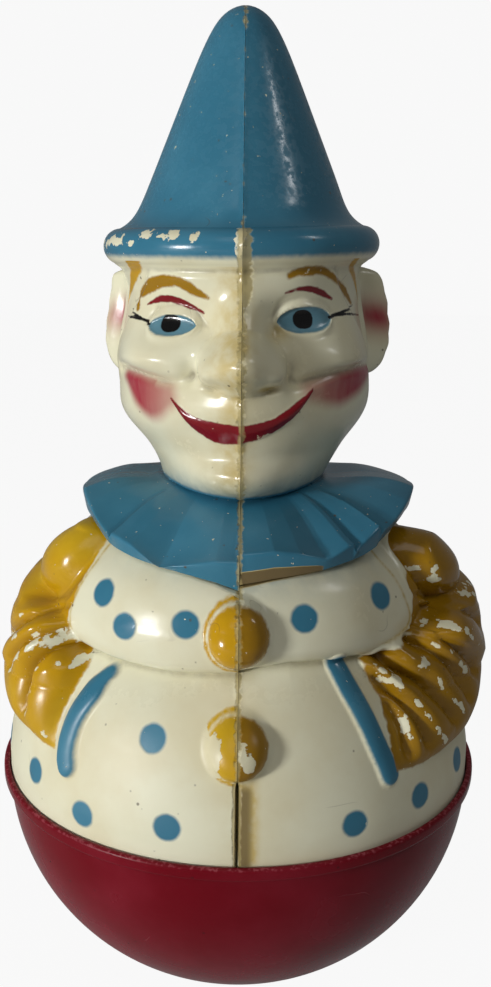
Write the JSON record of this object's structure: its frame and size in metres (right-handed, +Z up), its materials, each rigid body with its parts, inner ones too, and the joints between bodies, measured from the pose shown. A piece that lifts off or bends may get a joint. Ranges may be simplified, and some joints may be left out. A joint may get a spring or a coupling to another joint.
{
  "type": "roly-poly clown rattle",
  "caption": "Round-bottomed toy clown with a pointed hat and pleated collar: a weighted bowl rights it when it is pushed, and loose pellets inside rattle as it rocks.",
  "frame": {"origin": "centre of the small flat under the bowl, on the surface that the toy stands on", "axes": "+Z up through the tip of the hat, -Y the way the clown faces, +X to the right of someone facing the clown"},
  "size_m": [0.1276, 0.127, 0.2493],
  "materials": {
    "painted_cream_plastic": "cream moulded plastic, hand painted and airbrushed, worn",
    "red_plastic": "dark red moulded plastic, worn gloss",
    "cast_iron": "rough cast",
    "plated_steel": "dull zinc plate",
    "pellet_plastic": "tumbled moulded plastic"
  },
  "bodies": {
    "toy": {"figure_left_half": "painted_cream_plastic", "figure_right_half": "painted_cream_plastic", "base_bowl": "red_plastic", "counterweight": "cast_iron", "weight_washer": "plated_steel", "weight_screw": "plated_steel"},
    "pellet_1": {"rattle_pellet_1": "pellet_plastic"},
    "pellet_2": {"rattle_pellet_2": "pellet_plastic"},
    "pellet_3": {"rattle_pellet_3": "pellet_plastic"},
    "pellet_4": {"rattle_pellet_4": "pellet_plastic"},
    "pellet_5": {"rattle_pellet_5": "pellet_plastic"},
    "pellet_6": {"rattle_pellet_6": "pellet_plastic"},
    "pellet_7": {"rattle_pellet_7": "pellet_plastic"},
    "pellet_8": {"rattle_pellet_8": "pellet_plastic"}
  },
  "joints": [
    {"name": "pellet_1_roll", "type": "hinge", "parent": "toy", "child": "pellet_1", "pos_m": [0, 0, 0.0158], "axis": [0, 0, 1], "range_deg": [-15, 15]},
    {"name": "pellet_2_roll", "type": "hinge", "parent": "toy", "child": "pellet_2", "pos_m": [0, 0, 0.0158], "axis": [0, 0, 1], "range_deg": [-15, 15]},
    {"name": "pellet_3_roll", "type": "hinge", "parent": "toy", "child": "pellet_3", "pos_m": [0, 0, 0.0158], "axis": [0, 0, 1], "range_deg": [-15, 15]},
    {"name": "pellet_4_roll", "type": "hinge", "parent": "toy", "child": "pellet_4", "pos_m": [0, 0, 0.0158], "axis": [0, 0, 1], "range_deg": [-15, 15]},
    {"name": "pellet_5_roll", "type": "hinge", "parent": "toy", "child": "pellet_5", "pos_m": [0, 0, 0.0158], "axis": [0, 0, 1], "range_deg": [-15, 15]},
    {"name": "pellet_6_roll", "type": "hinge", "parent": "toy", "child": "pellet_6", "pos_m": [0, 0, 0.0158], "axis": [0, 0, 1], "range_deg": [-15, 15]},
    {"name": "pellet_7_roll", "type": "hinge", "parent": "toy", "child": "pellet_7", "pos_m": [0, 0, 0.0158], "axis": [0, 0, 1], "range_deg": [-15, 15]},
    {"name": "pellet_8_roll", "type": "hinge", "parent": "toy", "child": "pellet_8", "pos_m": [0, 0, 0.0158], "axis": [0, 0, 1], "range_deg": [-15, 15]}
  ]
}
